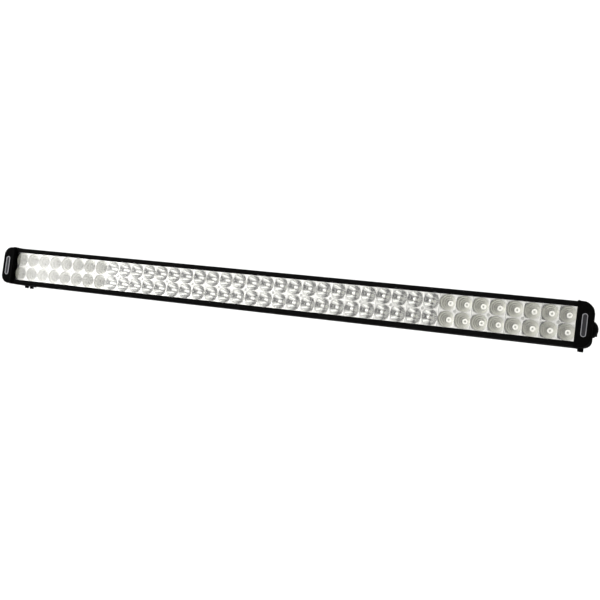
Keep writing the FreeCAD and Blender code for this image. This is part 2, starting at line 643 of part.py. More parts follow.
def end_cap():
    cap = rounded_block(CAP_X1, CAP_H2, CAP_R, CAP_Y0, SIDE_Y)
    cap = cap.makeFillet(CAP_FILLET, outer_edges(cap, (CAP_Y0, SIDE_Y)))
    # behind the front block the cap steps in to clear the bracket ear
    back = rounded_block(SIDE_X, CAP_BACK_H2, CAP_BACK_R, SIDE_Y - 3.0, CAP_Y1)
    cap = cap.fuse(back.makeFillet(CAP_FILLET, outer_edges(back, (CAP_Y1,))))
    # raised rim against the housing
    rim = box(END_X, END_X + 2.6, CAP_Y0 - 0.45, CAP_Y1 + RIM, -CAP_H2 - RIM, CAP_H2 + RIM)
    rim = rim.makeFillet(1.6, [e for e in rim.Edges if e.BoundBox.XLength > 2])
    cap = cap.fuse(rim)
    for y in STUD_Y:
        stud = Part.makeCylinder(STUD_R, -CAP_BACK_H2 + 1.0 - STUD_Z0,
                                 V(END_X + 4.2, y, STUD_Z0), V(0, 0, 1))
        stud = stud.makeFillet(1.0, [e for e in stud.Edges
                                     if abs(e.BoundBox.ZMax - STUD_Z0) < 1e-6])
        cap = cap.fuse(stud)
    # seat around the pivot
    cap = cap.fuse(pivot_cyl(11.6, SIDE_X - 4.0, SIDE_X))
    # lens slot, gasket seat, inner pocket with the insert boss left standing
    cap = cap.cut(box(END_X - 1, END_X + 3.5, GROOVE_Y0, GROOVE_Y1, -GROOVE_H2, GROOVE_H2))
    cap = cap.cut(gasket_block(END_X - 1))
    pocket = box(END_X - 1, END_X + 11.0, *POCKET_Y, -POCKET_H2, POCKET_H2)
    cap = cap.cut(pocket.cut(pivot_cyl(9.0, END_X + 4.0, END_X + 12.0)))
    cap = cap.cut(pivot_cyl(INSERT_R, INSERT_X0, SIDE_X + 1))
    for y, z, seat_x, head_r in CAP_SCREWS:
        cap = cap.cut(cyl_x(2.2, END_X - 1, seat_x + 1, y, z))
        cap = cap.cut(cyl_x(head_r + 0.45, seat_x, CAP_X1 + 3, y, z))
    # shallow seat for the badge
    cap = cap.cut(pill(CAP_Y0 - 1.0, BADGE_Y1, 0.12))
    return cap.removeSplitter()


def cap_badge():
    """Blank badge, its face sunk inside a narrow rim."""
    badge = pill(BADGE_Y0, BADGE_Y1, 0.0)
    badge = badge.makeChamfer(0.2, [e for e in badge.Edges
                                    if abs(e.BoundBox.YMax - BADGE_Y0) < 1e-6])
    return badge.cut(pill(CAP_Y0 - 1.0, CAP_Y0 + 0.1, -1.1))


def cap_gasket():
    gasket = gasket_block(END_X)
    gasket = gasket.cut(box(END_X - 1, END_X + 2, POCKET_Y[0], WEB_Y0, -25.4, 25.4))
    gasket = gasket.cut(box(END_X - 1, END_X + 2, WEB_Y1, POCKET_Y[1], -POCKET_H2, POCKET_H2))
    for y, z, _, _ in CAP_SCREWS:
        gasket = gasket.cut(cyl_x(2.3, END_X - 1, END_X + 2, y, z))
    return gasket


def cap_screw(y, z, seat_x, head_r):
    head_x1 = seat_x + head_r + 0.5
    screw = cyl_x(head_r, seat_x, head_x1, y, z)
    screw = screw.makeFillet(0.5, [e for e in screw.Edges
                                   if abs(e.BoundBox.XMin - head_x1) < 1e-6])
    screw = screw.fuse(cyl_x(2.0, END_X - 14.0, seat_x, y, z))
    return screw.cut(hexagon("x", head_r - 0.5, seat_x + 1.6, seat_x + 5.0, y, z))


save_sides("end_cap", end_cap())
save_pair("cap_badges", cap_badge())
save_sides("cap_gasket", cap_gasket())
screws = []
for place in CAP_SCREWS:
    screw = cap_screw(*place)
    screws += [screw, flip_x(screw)]
save_group("cap_screws", screws)

# ---------------------------------------------------------------- pivot hardware
EAR_X0 = 528.0               # inner face of the bracket ear
EAR_X1 = EAR_X0 + BRACKET_T
BUSH_R = 6.0
WASHER_X0 = EAR_X1 + 0.05
WASHER_X1 = WASHER_X0 + 1.0
BOLT_HEAD_R, BOLT_HEAD_H = 10.8, 4.7


def pivot_washer():
    washer = pivot_ring(11.2, 4.1, WASHER_X0, WASHER_X1)
    return washer.makeChamfer(0.25, [e for e in washer.Edges
                                     if abs(e.BoundBox.XMin - WASHER_X1) < 1e-6
                                     and e.BoundBox.YLength > 20])


def pivot_bolt():
    """Domed head with a hexagon socket, on a plain shank."""
    head_x1 = WASHER_X1 + BOLT_HEAD_H
    dome_r = (BOLT_HEAD_R ** 2 + BOLT_HEAD_H ** 2) / (2 * BOLT_HEAD_H)
    head = Part.makeSphere(dome_r, V(head_x1 - dome_r, PIVOT_Y, PIVOT_Z)).common(
        pivot_cyl(BOLT_HEAD_R + 1, WASHER_X1, head_x1 + 1))
    bolt = head.fuse(pivot_cyl(3.95, END_X + 6.5, WASHER_X0 + 1.2))
    bolt = bolt.cut(hexagon("x", 5.0, head_x1 - 3.0, WASHER_X0 + 8, PIVOT_Y, PIVOT_Z))
    return bolt.removeSplitter()


save_pair("pivot_inserts", pivot_ring(INSERT_R, 4.0, INSERT_X0, SIDE_X))
save_pair("pivot_bushes", pivot_ring(BUSH_R, 4.05, SIDE_X, WASHER_X0))
save_pair("friction_washers", pivot_ring(11.4, BUSH_R + 0.02, SIDE_X, EAR_X0 - 0.05))
save_pair("pivot_washers", pivot_washer())
save_pair("pivot_bolts", pivot_bolt())

# ---------------------------------------------------------------- brackets
EAR_R = 11.8                 # round end of the ear
ARM_H2 = 7.0                 # arm behind the ear
FOOT_H2 = 12.5
FOOT_X0 = 481.0              # free end of the foot
FOOT_X1 = 522.5              # from here to the bend the foot is as narrow as the arm
FOOT_Y1 = FOOT_Y0 + BRACKET_T
FOOT_CORNER_R = 5.0
BEND_R = 2.5                 # inside of the bend
BUSH_GAP = 0.05              # radial clearance, bush to ear
SLOT_W = 9.0
SLOT_L = 14.0
SLOT_X = (491.0, 514.0)      # slot centres


def arm_strip():
    """Bent sheet: straight back from the pivot, then inwards behind the bar."""
    bend_x, bend_y = EAR_X0 - BEND_R, FOOT_Y0 - BEND_R
    outer_r = BEND_R + BRACKET_T
    diagonal = math.sqrt(0.5)

    def at(x, y):
        return V(x, y, 0)

    def on_bend(r):
        return at(bend_x + r * diagonal, bend_y + r * diagonal)

    edges = [
        Part.makeLine(at(EAR_X1, PIVOT_Y), at(EAR_X1, bend_y)),
        Part.Arc(at(EAR_X1, bend_y), on_bend(outer_r), at(bend_x, FOOT_Y1)).toShape(),
        Part.makeLine(at(bend_x, FOOT_Y1), at(FOOT_X0, FOOT_Y1)),
        Part.makeLine(at(FOOT_X0, FOOT_Y1), at(FOOT_X0, FOOT_Y0)),
        Part.makeLine(at(FOOT_X0, FOOT_Y0), at(bend_x, FOOT_Y0)),
        Part.Arc(at(bend_x, FOOT_Y0), on_bend(BEND_R), at(EAR_X0, bend_y)).toShape(),
        Part.makeLine(at(EAR_X0, bend_y), at(EAR_X0, PIVOT_Y)),
        Part.makeLine(at(EAR_X0, PIVOT_Y), at(EAR_X1, PIVOT_Y)),
    ]
    strip = Part.Face(Part.Wire(edges)).extrude(V(0, 0, 2 * ARM_H2))
    strip.translate(V(0, 0, PIVOT_Z - ARM_H2))
    return strip


def slot(x):
    reach = (SLOT_L - SLOT_W) / 2.0
    y0, y1 = FOOT_Y0 - 1, FOOT_Y1 + 1
    cutter = cyl_y(SLOT_W / 2, x - reach, y0, y1, PIVOT_Z)
    cutter = cutter.fuse(cyl_y(SLOT_W / 2, x + reach, y0, y1, PIVOT_Z))
    cutter = cutter.fuse(box(x - reach, x + reach, y0, y1,
                             PIVOT_Z - SLOT_W / 2, PIVOT_Z + SLOT_W / 2))
    return cutter.removeSplitter()


def is_foot_corner(edge):
    bounds = edge.BoundBox
    return (abs(abs(bounds.ZMin - PIVOT_Z) - FOOT_H2) < 1e-4
            and bounds.YLength > BRACKET_T - 0.1
            and bounds.ZLength < 1e-4 and bounds.XLength < 1e-4)


def bracket():
    body = arm_strip().fuse([
        pivot_cyl(EAR_R, EAR_X0, EAR_X1),
        box(FOOT_X0, FOOT_X1, FOOT_Y0, FOOT_Y1, PIVOT_Z - FOOT_H2, PIVOT_Z + FOOT_H2),
    ]).removeSplitter()
    body = body.makeFillet(FOOT_CORNER_R, [e for e in body.Edges if is_foot_corner(e)])
    body = body.cut(pivot_cyl(BUSH_R + BUSH_GAP, EAR_X0 - 1, EAR_X1 + 1))
    for x in SLOT_X:
        body = body.cut(slot(x))
    return body


save_sides("bracket", bracket())
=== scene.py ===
import bpy
import bmesh
import math
import numpy as np
from mathutils import Vector, Matrix


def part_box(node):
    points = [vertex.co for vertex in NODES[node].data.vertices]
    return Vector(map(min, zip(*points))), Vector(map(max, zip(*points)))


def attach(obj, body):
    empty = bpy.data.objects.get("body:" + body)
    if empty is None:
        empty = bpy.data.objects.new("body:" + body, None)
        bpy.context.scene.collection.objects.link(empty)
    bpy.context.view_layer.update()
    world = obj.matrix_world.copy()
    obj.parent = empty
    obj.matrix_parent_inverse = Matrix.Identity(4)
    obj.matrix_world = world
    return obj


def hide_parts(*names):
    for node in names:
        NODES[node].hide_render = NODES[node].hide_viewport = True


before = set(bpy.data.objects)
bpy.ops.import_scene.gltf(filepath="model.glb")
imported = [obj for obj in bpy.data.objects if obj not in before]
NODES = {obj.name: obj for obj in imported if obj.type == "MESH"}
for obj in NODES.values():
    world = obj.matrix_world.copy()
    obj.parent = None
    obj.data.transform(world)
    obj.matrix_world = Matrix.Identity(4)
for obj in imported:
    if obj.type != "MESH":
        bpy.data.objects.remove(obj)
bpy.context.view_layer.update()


MM = 0.001
scene = bpy.context.scene

# ------------------------------------------------------------------ sizes shared with the CAD part (mm)
PITCH = 25.4
COLS = 40
MOD = 50.8
N_MOD = 20
FLOOD_MODS = 4
HX = 508.0
REF_Y0 = 4.8
REF_UNDER = 6.2
REF_BASE = 25.1
CUP_R = 12.15
LED_Y = 25.3
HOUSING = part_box("housing")
OFS = (0.0, HOUSING[0][1] / MM, (HOUSING[0][2] + HOUSING[1][2]) / 2 / MM)   # window middle, on the lips' front plane
MOD_X = [-HX + MOD / 2 + MOD * k for k in range(N_MOD)]
LED_X = [-HX + PITCH / 2 + PITCH * k for k in range(COLS)]


# ------------------------------------------------------------------ material helpers
class Mat:
    """A small builder for node materials."""

    def __init__(self, name):
        self.m = bpy.data.materials.new(name)
        self.m.use_nodes = True
        self.t = self.m.node_tree
        self.t.nodes.clear()
        self.out = self.t.nodes.new("ShaderNodeOutputMaterial")
        self.tc = self.t.nodes.new("ShaderNodeTexCoord")

    def node(self, kind, **kw):
        n = self.t.nodes.new(kind)
        for k, v in kw.items():
            if k in n.inputs:
                self.set(n, k, v)
            else:
                setattr(n, k, v)
        return n

    def set(self, n, key, v):
        s = n.inputs[key]
        if isinstance(v, bpy.types.NodeSocket):
            self.t.links.new(v, s)
        else:
            s.default_value = v

    def coords(self, scale=(1, 1, 1), rot=(0, 0, 0)):
        mp = self.t.nodes.new("ShaderNodeMapping")
        mp.inputs["Scale"].default_value = scale
        mp.inputs["Rotation"].default_value = rot
        self.t.links.new(self.tc.outputs["Object"], mp.inputs["Vector"])
        return mp.outputs["Vector"]

    def noise(self, scale, detail=4.0, rough=0.55, vec=None, dist=0.0):
        n = self.t.nodes.new("ShaderNodeTexNoise")
        n.inputs["Scale"].default_value = scale
        n.inputs["Detail"].default_value = detail
        n.inputs["Roughness"].default_value = rough
        n.inputs["Distortion"].default_value = dist
        self.t.links.new(vec if vec is not None else self.coords(), n.inputs["Vector"])
        return n.outputs["Fac"]

    def voronoi(self, scale, vec=None, feature="F1"):
        n = self.t.nodes.new("ShaderNodeTexVoronoi")
        n.feature = feature
        n.inputs["Scale"].default_value = scale
        self.t.links.new(vec if vec is not None else self.coords(), n.inputs["Vector"])
        return n.outputs["Distance"]

    def ramp(self, fac, stops, interp="LINEAR"):
        n = self.t.nodes.new("ShaderNodeValToRGB")
        n.color_ramp.interpolation = interp
        el = n.color_ramp.elements
        while len(el) > 1:
            el.remove(el[-1])
        el[0].position = stops[0][0]
        el[0].color = self.rgba(stops[0][1])
        for p, c in stops[1:]:
            e = el.new(p)
            e.color = self.rgba(c)
        self.t.links.new(fac, n.inputs["Fac"])
        return n.outputs["Color"]

    @staticmethod
    def rgba(c):
        if isinstance(c, (int, float)):
            return (c, c, c, 1.0)
        return tuple(c) if len(c) == 4 else tuple(c) + (1.0,)

    def math(self, op, a, b=0.5, clamp=False):
        n = self.t.nodes.new("ShaderNodeMath")
        n.operation = op
        n.use_clamp = clamp
        for i, v in enumerate((a, b)):
            if isinstance(v, bpy.types.NodeSocket):
                self.t.links.new(v, n.inputs[i])
            else:
                n.inputs[i].default_value = v
        return n.outputs[0]

    def mix(self, fac, a, b, blend="MIX"):
        n = self.t.nodes.new("ShaderNodeMix")
        n.data_type = "RGBA"
        n.blend_type = blend
        for s, v in ((n.inputs[0], fac), (n.inputs[6], a), (n.inputs[7], b)):
            if isinstance(v, bpy.types.NodeSocket):
                self.t.links.new(v, s)
            else:
                s.default_value = float(v) if s == n.inputs[0] else self.rgba(v)
        return n.outputs[2]

    def bump(self, height, strength, dist, normal=None):
        n = self.t.nodes.new("ShaderNodeBump")
        n.inputs["Strength"].default_value = strength
        n.inputs["Distance"].default_value = dist
        self.t.links.new(height, n.inputs["Height"])
        if normal is not None:
            self.t.links.new(normal, n.inputs["Normal"])
        return n.outputs["Normal"]

    def edge(self, radius, lo=0.02, hi=0.25):
        """1 along sharp edges, 0 on flats: the bevelled normal against the true one."""
        b = self.t.nodes.new("ShaderNodeBevel")
        b.samples = 4
        b.inputs["Radius"].default_value = radius
        g = self.t.nodes.new("ShaderNodeNewGeometry")
        d = self.t.nodes.new("ShaderNodeVectorMath")
        d.operation = "DOT_PRODUCT"
        self.t.links.new(b.outputs["Normal"], d.inputs[0])
        self.t.links.new(g.outputs["Normal"], d.inputs[1])
        inv = self.math("SUBTRACT", 1.0, d.outputs["Value"])
        n = self.t.nodes.new("ShaderNodeMapRange")
        n.inputs["From Min"].default_value = lo
        n.inputs["From Max"].default_value = hi
        self.t.links.new(inv, n.inputs["Value"])
        return n.outputs["Result"]

    def soft_edges(self, radius):
        b = self.t.nodes.new("ShaderNodeBevel")
        b.samples = 4
        b.inputs["Radius"].default_value = radius
        return b.outputs["Normal"]

    def principled(self, **kw):
        n = self.t.nodes.new("ShaderNodeBsdfPrincipled")
        for k, v in kw.items():
            k = k.replace("_", " ")
            s = n.inputs[k]
            if isinstance(v, bpy.types.NodeSocket):
                self.t.links.new(v, s)
            elif isinstance(v, (tuple, list)) and len(v) == 3 and s.type == "RGBA":
                s.default_value = (*v, 1.0)
            else:
                s.default_value = v
        self.t.links.new(n.outputs[0], self.out.inputs["Surface"])
        return n


def powder_coat(name, base, grain, rough=0.46, gloss=(0.008, 0.05), wear=True):
    m = Mat(name)
    v = m.coords()
    big = m.noise(9.0, 3.0, 0.5, v)
    fine = m.noise(grain, 3.0, 0.6, v)
    cell = m.voronoi(grain * 0.8, v)
    col = m.mix(big, [c * 0.75 for c in base], [c * 1.35 for c in base])
    dust = m.ramp(m.noise(38.0, 6.0, 0.65, v), [(0.55, 0.0), (0.78, 1.0)])
    col = m.mix(m.math("MULTIPLY", dust, 0.05), col, (0.03, 0.03, 0.031))
    r = m.ramp(fine, [(0.25, rough - 0.07), (0.75, rough + 0.09)])
    if wear:
        e = m.edge(0.0006)
        chips = m.ramp(m.noise(420.0, 4.0, 0.6, v), [(0.50, 0.0), (0.62, 1.0)])
        w = m.math("MULTIPLY", e, chips)
        col = m.mix(m.math("MULTIPLY", w, 0.25), col, (0.05, 0.05, 0.052))
        r = m.mix(m.math("MULTIPLY", e, 0.5), r, 0.30)
    n = m.bump(m.math("ADD", fine, m.math("MULTIPLY", cell, 0.5)), 0.22, 0.00010, m.soft_edges(0.00035))
    lw = m.t.nodes.new("ShaderNodeLayerWeight")
    lw.inputs["Blend"].default_value = 0.25
    m.t.links.new(n, lw.inputs["Normal"])
    body = m.t.nodes.new("ShaderNodeBsdfPrincipled")
    m.t.links.new(col, body.inputs["Base Color"])
    m.t.links.new(r, body.inputs["Roughness"])
    m.t.links.new(n, body.inputs["Normal"])
    body.inputs["Specular IOR Level"].default_value = 0.0
    gl = m.t.nodes.new("ShaderNodeBsdfGlossy")
    m.t.links.new(r, gl.inputs["Roughness"])
    m.t.links.new(n, gl.inputs["Normal"])
    mx = m.t.nodes.new("ShaderNodeMixShader")
    fac = m.ramp(lw.outputs["Facing"], [(0.0, gloss[0]), (0.6, gloss[0] * 1.6), (1.0, gloss[1])])
    m.t.links.new(fac, mx.inputs[0])
    m.t.links.new(body.outputs[0], mx.inputs[1])
    m.t.links.new(gl.outputs[0], mx.inputs[2])
    m.t.links.new(mx.outputs[0], m.out.inputs["Surface"])
    return m.m


def rubber(name, base=(0.018, 0.018, 0.018), grain=900.0):
    m = Mat(name)
    v = m.coords()
    f = m.noise(grain, 4.0, 0.6, v)
    bloom = m.noise(60.0, 5.0, 0.6, v)
    col = m.mix(m.ramp(bloom, [(0.4, 0.0), (0.8, 1.0)]), base, [c * 2.2 + 0.006 for c in base])
    m.principled(Base_Color=col, Roughness=m.ramp(f, [(0.3, 0.66), (0.7, 0.86)]), Specular_IOR_Level=0.25,
                 Normal=m.bump(f, 0.3, 0.00008, m.soft_edges(0.0003)))
    return m.m


def plastic(name, base, rough=0.42, grain=1600.0, bump=0.25):
    m = Mat(name)
    v = m.coords()
    f = m.voronoi(grain, v)
    g = m.noise(grain * 0.5, 3.0, 0.6, v)
    flow = m.noise(25.0, 3.0, 0.5, v)
    col = m.mix(flow, [c * 0.85 for c in base], [min(1.0, c * 1.18 + 0.004) for c in base])
    m.principled(Base_Color=col, Roughness=m.ramp(g, [(0.3, rough - 0.06), (0.7, rough + 0.08)]),
                 Specular_IOR_Level=0.4, Normal=m.bump(f, bump, 0.00006, m.soft_edges(0.00035)))
    return m.m


def metal(name, base, rough=0.28, brush=(1, 1, 1), scale=700.0, wear=0.25):
    m = Mat(name)
    v = m.coords(scale=brush)
    f = m.noise(scale, 5.0, 0.65, v)
    big = m.noise(35.0, 4.0, 0.6, m.coords())
    col = m.mix(big, [c * 0.82 for c in base], [min(1.0, c * 1.12) for c in base])
    e = m.edge(0.0004)
    r = m.ramp(f, [(0.25, max(0.05, rough - 0.10)), (0.75, rough + 0.12)])
    r = m.mix(m.math("MULTIPLY", e, wear), r, 0.15)
    m.principled(Base_Color=col, Metallic=1.0, Roughness=r,
                 Normal=m.bump(f, 0.12, 0.00005, m.soft_edges(0.00025)))
    return m.m


def coated_steel(name):
    return powder_coat(name, (0.0018, 0.0018, 0.0018), 1500.0, rough=0.40, gloss=(0.004, 0.022))


M = {}
M["extrusion"] = powder_coat("housing_black", (0.0020, 0.0020, 0.0019), 1400.0, gloss=(0.0035, 0.03))
M["casting"] = powder_coat("cap_black", (0.0014, 0.0014, 0.0014), 800.0, rough=0.50, gloss=(0.0020, 0.018))
M["steel_black"] = coated_steel("bracket_black")
M["rubber"] = rubber("black_rubber")
M["silicone"] = rubber("grey_silicone", (0.30, 0.31, 0.32), 600.0)
M["plastic"] = plastic("black_moulding", (0.022, 0.022, 0.023))
M["orange"] = plastic("orange_moulding", (0.72, 0.22, 0.03))
M["ferrite"] = plastic("ferrite", (0.06, 0.06, 0.063), rough=0.7, grain=900.0, bump=0.5)
M["zinc"] = metal("zinc_plate", (0.62, 0.63, 0.64), 0.30)
M["stainless"] = metal("stainless_screws", (0.52, 0.52, 0.51), 0.32)
M["can"] = metal("capacitor_can", (0.66, 0.67, 0.69), 0.35, brush=(1, 0.05, 1))
M["brass"] = metal("plated_brass", (0.70, 0.54, 0.27), 0.30)


def badge():
    """Plain badge: bright narrow rim round a dark, finely brushed face that lies a little lower."""
    m = Mat("badge_plain")
    sep = m.t.nodes.new("ShaderNodeSeparateXYZ")
    m.t.links.new(m.tc.outputs["Object"], sep.inputs[0])
    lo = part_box("cap_badges")[0][1]
    rim = m.math("LESS_THAN", sep.outputs["Y"], lo + 0.0002)
    f = m.noise(1200.0, 4.0, 0.6, m.coords(scale=(1, 1, 0.04)))
    col = m.mix(rim, (0.028, 0.028, 0.030), (0.42, 0.42, 0.44))
    m.principled(Base_Color=m.mix(m.math("MULTIPLY", f, 0.3), col, (0.10, 0.10, 0.11)), Metallic=0.9,
                 Roughness=m.ramp(f, [(0.3, 0.30), (0.7, 0.45)]), Normal=m.bump(f, 0.1, 0.00004))
    return m.m


M["badge"] = badge()


def wire(name, base):
    m = Mat(name)
    v = m.coords()
    f = m.noise(500.0, 3.0, 0.5, v)
    m.principled(Base_Color=m.mix(m.noise(40.0, 3.0, 0.5, v), [c * 0.8 for c in base], [min(1, c * 1.2 + 0.005) for c in base]),
                 Roughness=m.ramp(f, [(0.3, 0.28), (0.7, 0.44)]), Normal=m.bump(f, 0.15, 0.00008))
    return m.m


M["red"] = wire("red_wire", (0.52, 0.02, 0.02))
M["black"] = wire("black_wire", (0.018, 0.018, 0.018))


def board(name, base, trace, w=0.25, glow=0.0, ring=None):
    """Solder mask with traces; ring prints a pale ring of that radius (mm) round every LED."""
    m = Mat(name)
    v = m.coords()
    br = m.t.nodes.new("ShaderNodeTexBrick")
    br.inputs["Scale"].default_value = 90.0
    br.inputs["Mortar Size"].default_value = 0.03
    br.inputs["Color1"].default_value = (0, 0, 0, 1)
    br.inputs["Color2"].default_value = (0.2, 0.2, 0.2, 1)
    br.inputs["Mortar"].default_value = (1, 1, 1, 1)
    m.t.links.new(m.coords(rot=(math.radians(90), 0, 0)), br.inputs["Vector"])
    f = m.noise(300.0, 4.0, 0.6, v)
    col = m.mix(m.math("MULTIPLY", br.outputs["Color"], w), base, trace)
    col = m.mix(m.math("MULTIPLY", f, 0.12), col, [c * 0.8 for c in base])
    if ring:
        sep = m.t.nodes.new("ShaderNodeSeparateXYZ")
        m.t.links.new(m.tc.outputs["Object"], sep.inputs[0])
        d = []
        for axis, at in (("X", LED_X[0] * MM), ("Z", (PITCH / 2 + OFS[2]) * MM)):
            u = m.math("DIVIDE", m.math("SUBTRACT", sep.outputs[axis], at), PITCH * MM)
            u = m.math("SUBTRACT", u, m.math("ROUND", u))
            d.append(m.math("MULTIPLY", u, PITCH))
        r2 = m.math("ADD", m.math("MULTIPLY", d[0], d[0]), m.math("MULTIPLY", d[1], d[1]))
        col = m.mix(m.math("LESS_THAN", r2, ring * ring), col, (0.80, 0.80, 0.78))
    m.principled(Base_Color=col, Roughness=m.ramp(f, [(0.3, 0.26), (0.7, 0.40)]), Emission_Color=col,
                 Emission_Strength=glow, Normal=m.bump(br.outputs["Color"], 0.2, 0.00006))
    return m.m


M["led_board"] = board("led_board_mask", (0.012, 0.012, 0.012), (0.05, 0.045, 0.035), 0.35, 0.0, 3.05)
M["green_board"] = board("green_mask", (0.015, 0.13, 0.05), (0.05, 0.25, 0.11), 0.6)


def membrane():
    m = Mat("vent_membrane")
    a = m.t.nodes.new("ShaderNodeTexWave")
    a.inputs["Scale"].default_value = 900.0
    m.t.links.new(m.coords(), a.inputs["Vector"])
    m.principled(Base_Color=m.mix(a.outputs["Fac"], (0.78, 0.78, 0.77), (0.88, 0.88, 0.87)), Roughness=0.8,
                 Normal=m.bump(a.outputs["Fac"], 0.4, 0.00005))
    return m.m


M["membrane"] = membrane()


def ceramic():
    m = Mat("led_ceramic")
    f = m.noise(2500.0, 4.0, 0.6)
    # dark conductor pads: eight narrow spokes and a thin ring on the white body, centred on every LED
    sep = m.t.nodes.new("ShaderNodeSeparateXYZ")
    m.t.links.new(m.tc.outputs["Object"], sep.inputs[0])
    d = []
    for axis, at in (("X", LED_X[0] * MM), ("Z", (PITCH / 2 + OFS[2]) * MM)):
        u = m.math("DIVIDE", m.math("SUBTRACT", sep.outputs[axis], at), PITCH * MM)
        d.append(m.math("MULTIPLY", m.math("SUBTRACT", u, m.math("ROUND", u)), PITCH))
    r = m.math("SQRT", m.math("ADD", m.math("MULTIPLY", d[0], d[0]), m.math("MULTIPLY", d[1], d[1])))
    spoke = m.math("GREATER_THAN", m.math("COSINE", m.math("MULTIPLY", m.math("ARCTAN2", d[0], d[1]), 8.0)), 0.35)
    spoke = m.math("MULTIPLY", spoke, m.math("GREATER_THAN", r, 1.62))
    col = m.mix(f, (0.86, 0.86, 0.83), (0.93, 0.93, 0.90))
    col = m.mix(spoke, col, (0.03, 0.03, 0.03))
    # painted glow: the white LED body emits a little light of its own (strength 0.25), though it is no lamp, so it
    # stays bright deep in the cups where shade falls
    m.principled(Base_Color=col, Roughness=0.4, Emission_Color=col, Emission_Strength=0.25,
                 Normal=m.bump(f, 0.2, 0.00003))
    return m.m


def phosphor():
    m = Mat("led_phosphor")
    f = m.noise(4000.0, 5.0, 0.7)
    m.principled(Base_Color=m.mix(f, (0.58, 0.58, 0.50), (0.70, 0.69, 0.60)), Roughness=0.55,
                 Normal=m.bump(f, 0.4, 0.00003))
    return m.m


def clear(name, tint=(0.995, 0.993, 0.982), ior=1.5, rough=0.02, body=0.0, body_col=(0.8, 0.82, 0.8), smear=True, most=1.0):
    """A thin clear wall: see-through, with a reflecting surface; light and shadow rays pass."""
    m = Mat(name)
    tr = m.node("ShaderNodeBsdfTransparent")
    tr.inputs["Color"].default_value = (*tint, 1)
    gl = m.node("ShaderNodeBsdfGlossy")
    f = m.noise(55.0, 5.0, 0.6)
    hair = m.noise(180.0, 2.0, 0.5, m.coords(scale=(0.06, 1, 1)))
    m.t.links.new(m.ramp(f, [(0.35, rough * 0.6), (0.75, rough * 2.4)]), gl.inputs["Roughness"])
    if smear:
        m.t.links.new(m.bump(hair, 0.03, 0.00004), gl.inputs["Normal"])
    fr = m.node("ShaderNodeFresnel")
    fr.inputs["IOR"].default_value = ior
    mx = m.node("ShaderNodeMixShader")
    # the sheet is thin and straight rays cross it: its inner side never turns into a full mirror
    lim = m.node("ShaderNodeMath")
    lim.operation = "MINIMUM"
    lim.inputs[1].default_value = most
    m.t.links.new(fr.outputs[0], lim.inputs[0])
    m.t.links.new(lim.outputs[0], mx.inputs[0])
    m.t.links.new(tr.outputs[0], mx.inputs[1])
    m.t.links.new(gl.outputs[0], mx.inputs[2])
    last = mx.outputs[0]
    if body > 0:
        df = m.node("ShaderNodeBsdfDiffuse")
        df.inputs["Color"].default_value = (*body_col, 1)
        m2 = m.node("ShaderNodeMixShader")
        m2.inputs[0].default_value = body
        m.t.links.new(last, m2.inputs[1])
        m.t.links.new(df.outputs[0], m2.inputs[2])
        last = m2.outputs[0]
    m.t.links.new(last, m.out.inputs["Surface"])
    return m.m


M["lens"] = clear("clear_lens", ior=1.50, rough=0.012, most=0.25)
M["dome"] = clear("led_dome", tint=(0.93, 0.93, 0.90), ior=1.45, rough=0.05, body=0.05, body_col=(0.70, 0.70, 0.66), smear=False)
M["ceramic"] = ceramic()
M["phosphor"] = phosphor()


def mirror(name, base, rough, orange_peel, satin=0.0):
    """Vacuum-metallised plastic: bright film, faint orange peel, a little dust and haze; satin scatters part of it."""
    m = Mat(name)
    v = m.coords()
    haze = m.noise(30.0, 5.0, 0.6, v)
    peel = m.noise(420.0, 3.0, 0.55, v)
    specks = m.ramp(m.noise(1800.0, 2.0, 0.5, v), [(0.66, 0.0), (0.72, 1.0)])
    col = m.mix(haze, [c * 0.95 for c in base], [min(1.0, c * 1.03) for c in base])
    col = m.mix(m.math("MULTIPLY", specks, 0.20), col, [c * 0.72 for c in base])
    r = m.ramp(haze, [(0.3, rough * 0.7), (0.8, rough * 1.6)])
    bump = m.bump(peel, orange_peel, 0.00010)
    p = m.principled(Base_Color=col, Metallic=1.0, Roughness=r, Normal=bump)
    if satin:
        d = m.t.nodes.new("ShaderNodeBsdfDiffuse")
        m.t.links.new(m.mix(haze, [c * 0.90 for c in base], base), d.inputs["Color"])
        m.t.links.new(bump, d.inputs["Normal"])
        mx = m.t.nodes.new("ShaderNodeMixShader")
        m.t.links.new(m.math("MULTIPLY", m.ramp(haze, [(0.2, 0.94), (0.8, 1.0)]), satin), mx.inputs[0])
        m.t.links.new(p.outputs[0], mx.inputs[1])
        m.t.links.new(d.outputs[0], mx.inputs[2])
        out = [n for n in m.t.nodes if n.type == "OUTPUT_MATERIAL"][0]
        m.t.links.new(mx.outputs[0], out.inputs["Surface"])
    return m.m


M["spot"] = mirror("mirror_spot", (0.87, 0.872, 0.865), 0.03, 0.02)
M["flood"] = mirror("mirror_flood", (0.41, 0.41, 0.350), 0.30, 0.03, 0.97)
M["face"] = mirror("mirror_face", (0.55, 0.55, 0.543), 0.14, 0.03)
# painted light: the top zone of the spot cups is the same metallised film as the rest of the cup, given a lighter
# colour (0.97 against 0.87) so no dark ring shows round the mouth; its higher roughness is a finish
M["lip"] = mirror("mirror_lip_painted_light", (0.97, 0.97, 0.955), 0.14, 0.03)
# painted light: the ledges are the same metallised film as the flood cup walls; their lighter colour (0.74 against
# 0.41) makes the rings read as lit, while their less satin finish is real
M["ledge"] = mirror("mirror_ledge_painted_light", (0.74, 0.74, 0.68), 0.22, 0.03, 0.45)
# painted light: the disc at the bottom of each flood cup is the same film as the walls, given a lighter colour (0.84
# against 0.41) so it stays bright where the deep cup shades it; its more mirror-like finish is real
M["floor"] = mirror("mirror_floor_painted_light", (0.84, 0.84, 0.81), 0.16, 0.03, 0.15)

